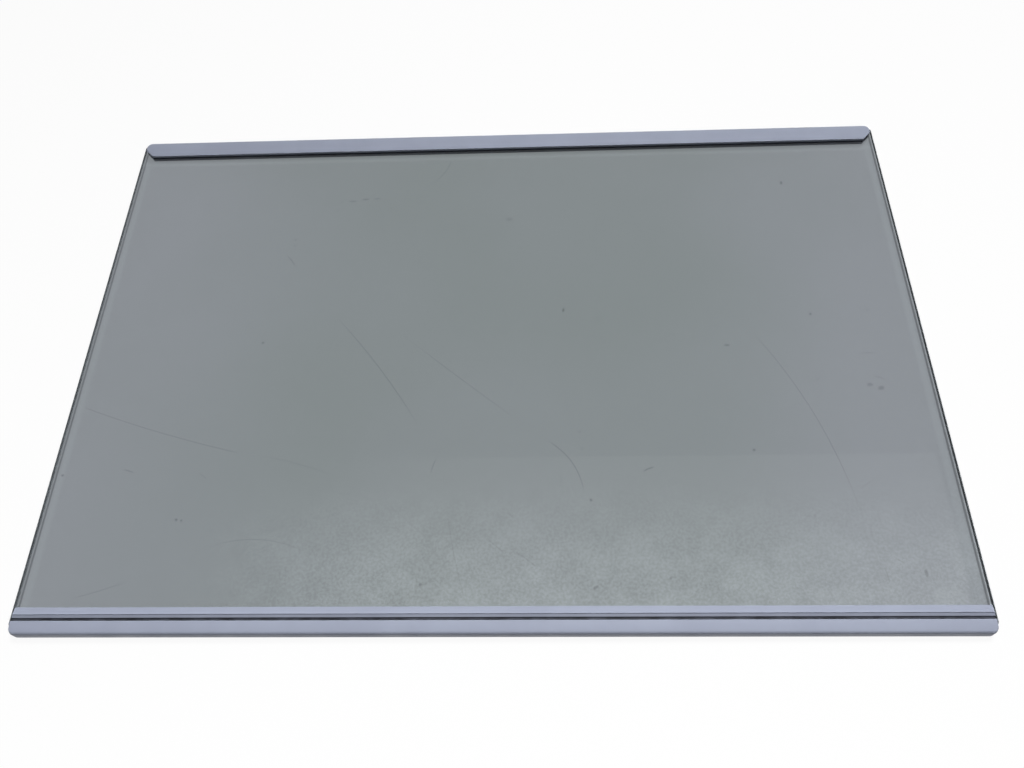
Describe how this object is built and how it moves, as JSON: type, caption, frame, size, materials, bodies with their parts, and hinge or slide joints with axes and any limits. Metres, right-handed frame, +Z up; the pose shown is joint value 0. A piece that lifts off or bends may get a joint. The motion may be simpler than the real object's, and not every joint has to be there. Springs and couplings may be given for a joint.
{
  "type": "fridge crisper cover",
  "caption": "Flat clear glass cover that lies over a fridge's vegetable drawers, with a white moulded trim gripping its front edge and another gripping its rear edge.",
  "frame": {"origin": "centre of the footprint, on the surface that the undersides of both trims stand on", "axes": "+X to the right along both trims, +Y from the front trim to the rear trim, +Z up out of the glass"},
  "size_m": [0.52, 0.356, 0.0072],
  "materials": {
    "clear_glass": "clear toughened float glass with a grey-green cast, ground edges and fine scratches from use",
    "white_plastic": "cool white moulded plastic with a satin skin, lightly worn, with grime in the groove"
  },
  "bodies": {
    "root": {"pane": "clear_glass", "front_trim": "white_plastic", "rear_trim": "white_plastic"}
  },
  "joints": []
}
